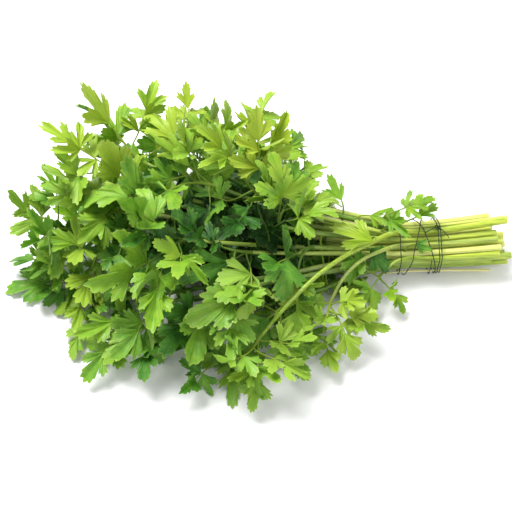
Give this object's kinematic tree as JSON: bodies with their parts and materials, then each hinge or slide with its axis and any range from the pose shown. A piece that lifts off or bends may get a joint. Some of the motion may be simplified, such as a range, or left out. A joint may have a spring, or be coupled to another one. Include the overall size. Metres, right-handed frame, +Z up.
{
  "type": "bunch of flat-leaf parsley",
  "caption": "Fresh flat-leaf herb bunch lying on its side: fanned leafy sprigs whose stems run together and are held by one dark thread wound near the cut ends.",
  "frame": {"origin": "middle of the footprint, on the surface that the bunch lies on", "axes": "+X along the stems towards their cut ends, -X towards the leaf tips, +Y across the bunch to its back, +Z up"},
  "size_m": [0.2928, 0.2028, 0.0968],
  "materials": {
    "stem": "satin",
    "leaf": "satin",
    "tie": "matte"
  },
  "bodies": {
    "root": {"stem_01": "stem", "stem_02": "stem", "stem_03": "stem", "stem_04": "stem", "stem_05": "stem", "stem_06": "stem", "stem_07": "stem", "stem_08": "stem", "stem_09": "stem", "stem_10": "stem", "stem_11": "stem", "stem_12": "stem", "stem_13": "stem", "stem_14": "stem", "stem_15": "stem", "stem_16": "stem", "stem_17": "stem", "stem_18": "stem", "stem_19": "stem", "stem_20": "stem", "stem_21": "stem", "stem_22": "stem", "stem_23": "stem", "stem_24": "stem", "stem_25": "stem", "stem_26": "stem", "stem_27": "stem", "stem_28": "stem", "stem_29": "stem", "stem_30": "stem", "leaf_01": "leaf", "leaf_02": "leaf", "leaf_03": "leaf", "leaf_04": "leaf", "leaf_05": "leaf", "leaf_06": "leaf", "leaf_07": "leaf", "leaf_08": "leaf", "leaf_09": "leaf", "leaf_10": "leaf", "leaf_11": "leaf", "leaf_12": "leaf", "leaf_13": "leaf", "leaf_14": "leaf", "leaf_15": "leaf", "leaf_16": "leaf", "leaf_17": "leaf", "leaf_18": "leaf", "leaf_19": "leaf", "leaf_20": "leaf", "leaf_21": "leaf", "leaf_22": "leaf", "leaf_23": "leaf", "leaf_24": "leaf", "leaf_25": "leaf", "leaf_26": "leaf", "leaf_27": "leaf", "leaf_28": "leaf", "leaf_29": "leaf", "tie_thread": "tie"}
  },
  "joints": []
}
